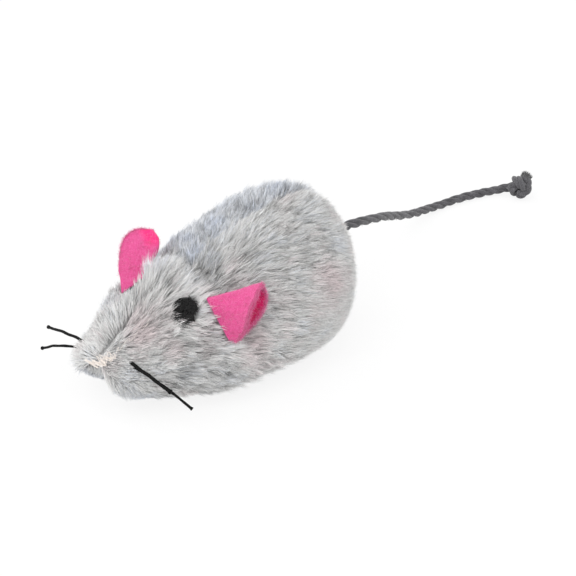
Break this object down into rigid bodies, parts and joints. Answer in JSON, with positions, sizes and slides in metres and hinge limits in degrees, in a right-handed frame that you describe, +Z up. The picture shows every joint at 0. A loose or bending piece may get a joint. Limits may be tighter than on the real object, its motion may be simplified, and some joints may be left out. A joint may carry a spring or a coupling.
{
  "type": "catnip toy mouse",
  "caption": "Stuffed plush toy mouse with catnip inside, folded felt ears, stitched eyes, thread whiskers and a knotted cord tail.",
  "frame": {"origin": "bottom centre of the mouse without its tail, on the ground plane", "axes": "+Y along the body from nose to rump, +X to the mouse's left, +Z up"},
  "size_m": [0.0578, 0.186, 0.0417],
  "materials": {
    "plush": "long soft grey pile",
    "wadding": "loose white fibre",
    "catnip": "dried crumbled leaf",
    "eye_thread": "black stitched thread",
    "felt": "matt pink felt",
    "nose_thread": "cream sewing thread",
    "sewing_thread": "grey sewing thread",
    "whisker_thread": "black waxed thread",
    "cord": "twisted dark grey cord"
  },
  "bodies": {
    "mouse": {"left_side_panel": "plush", "right_side_panel": "plush", "belly_panel": "plush", "stuffing": "wadding", "catnip_sachet": "catnip", "left_eye": "eye_thread", "right_eye": "eye_thread", "nose_stitch": "nose_thread", "left_dart_stitch": "sewing_thread", "right_dart_stitch": "sewing_thread", "back_seam_thread": "sewing_thread", "left_belly_seam_thread": "sewing_thread", "right_belly_seam_thread": "sewing_thread", "upper_whisker_thread": "whisker_thread", "lower_whisker_thread": "whisker_thread", "tail_anchor": "cord"},
    "left_ear": {"left_ear": "felt"},
    "right_ear": {"right_ear": "felt"},
    "left_upper_whisker": {"left_upper_whisker": "whisker_thread"},
    "left_lower_whisker": {"left_lower_whisker": "whisker_thread"},
    "right_upper_whisker": {"right_upper_whisker": "whisker_thread"},
    "right_lower_whisker": {"right_lower_whisker": "whisker_thread"},
    "tail_root": {"tail_root": "cord"},
    "tail": {"tail_cord": "cord", "tail_knot": "cord"}
  },
  "joints": [
    {"name": "left_ear_bend", "type": "hinge", "parent": "mouse", "child": "left_ear", "pos_m": [0.0182, -0.0143, 0.025], "axis": [0.745, 0, -0.667], "range_deg": [-8, 40], "stiffness_Nm_per_rad": 0.001},
    {"name": "right_ear_bend", "type": "hinge", "parent": "mouse", "child": "right_ear", "pos_m": [-0.016, -0.0153, 0.0249], "axis": [0.603, 0.354, 0.7149], "range_deg": [-8, 30], "stiffness_Nm_per_rad": 0.001},
    {"name": "left_upper_whisker_bend", "type": "hinge", "parent": "mouse", "child": "left_upper_whisker", "pos_m": [0.00875, -0.03801, 0.01832], "axis": [0, 0, 1], "range_deg": [-20, 10], "stiffness_Nm_per_rad": 0.0002},
    {"name": "left_lower_whisker_bend", "type": "hinge", "parent": "mouse", "child": "left_lower_whisker", "pos_m": [0.01076, -0.03851, 0.01683], "axis": [0, 0, 1], "range_deg": [-20, 10], "stiffness_Nm_per_rad": 0.0002},
    {"name": "right_upper_whisker_bend", "type": "hinge", "parent": "mouse", "child": "right_upper_whisker", "pos_m": [-0.00793, -0.04, 0.01722], "axis": [0, 0, 1], "range_deg": [-20, 20], "stiffness_Nm_per_rad": 0.0002},
    {"name": "right_lower_whisker_bend", "type": "hinge", "parent": "mouse", "child": "right_lower_whisker", "pos_m": [-0.00965, -0.04096, 0.01561], "axis": [0, 0, 1], "range_deg": [-20, 20], "stiffness_Nm_per_rad": 0.0002},
    {"name": "tail_swing", "type": "hinge", "parent": "mouse", "child": "tail_root", "pos_m": [0, 0.0449, 0.0235], "axis": [0, 0, 1], "range_deg": [-50, 50]},
    {"name": "tail_lift", "type": "hinge", "parent": "tail_root", "child": "tail", "pos_m": [0, 0.0485, 0.0235], "axis": [1, 0, 0], "range_deg": [0, 75]}
  ]
}
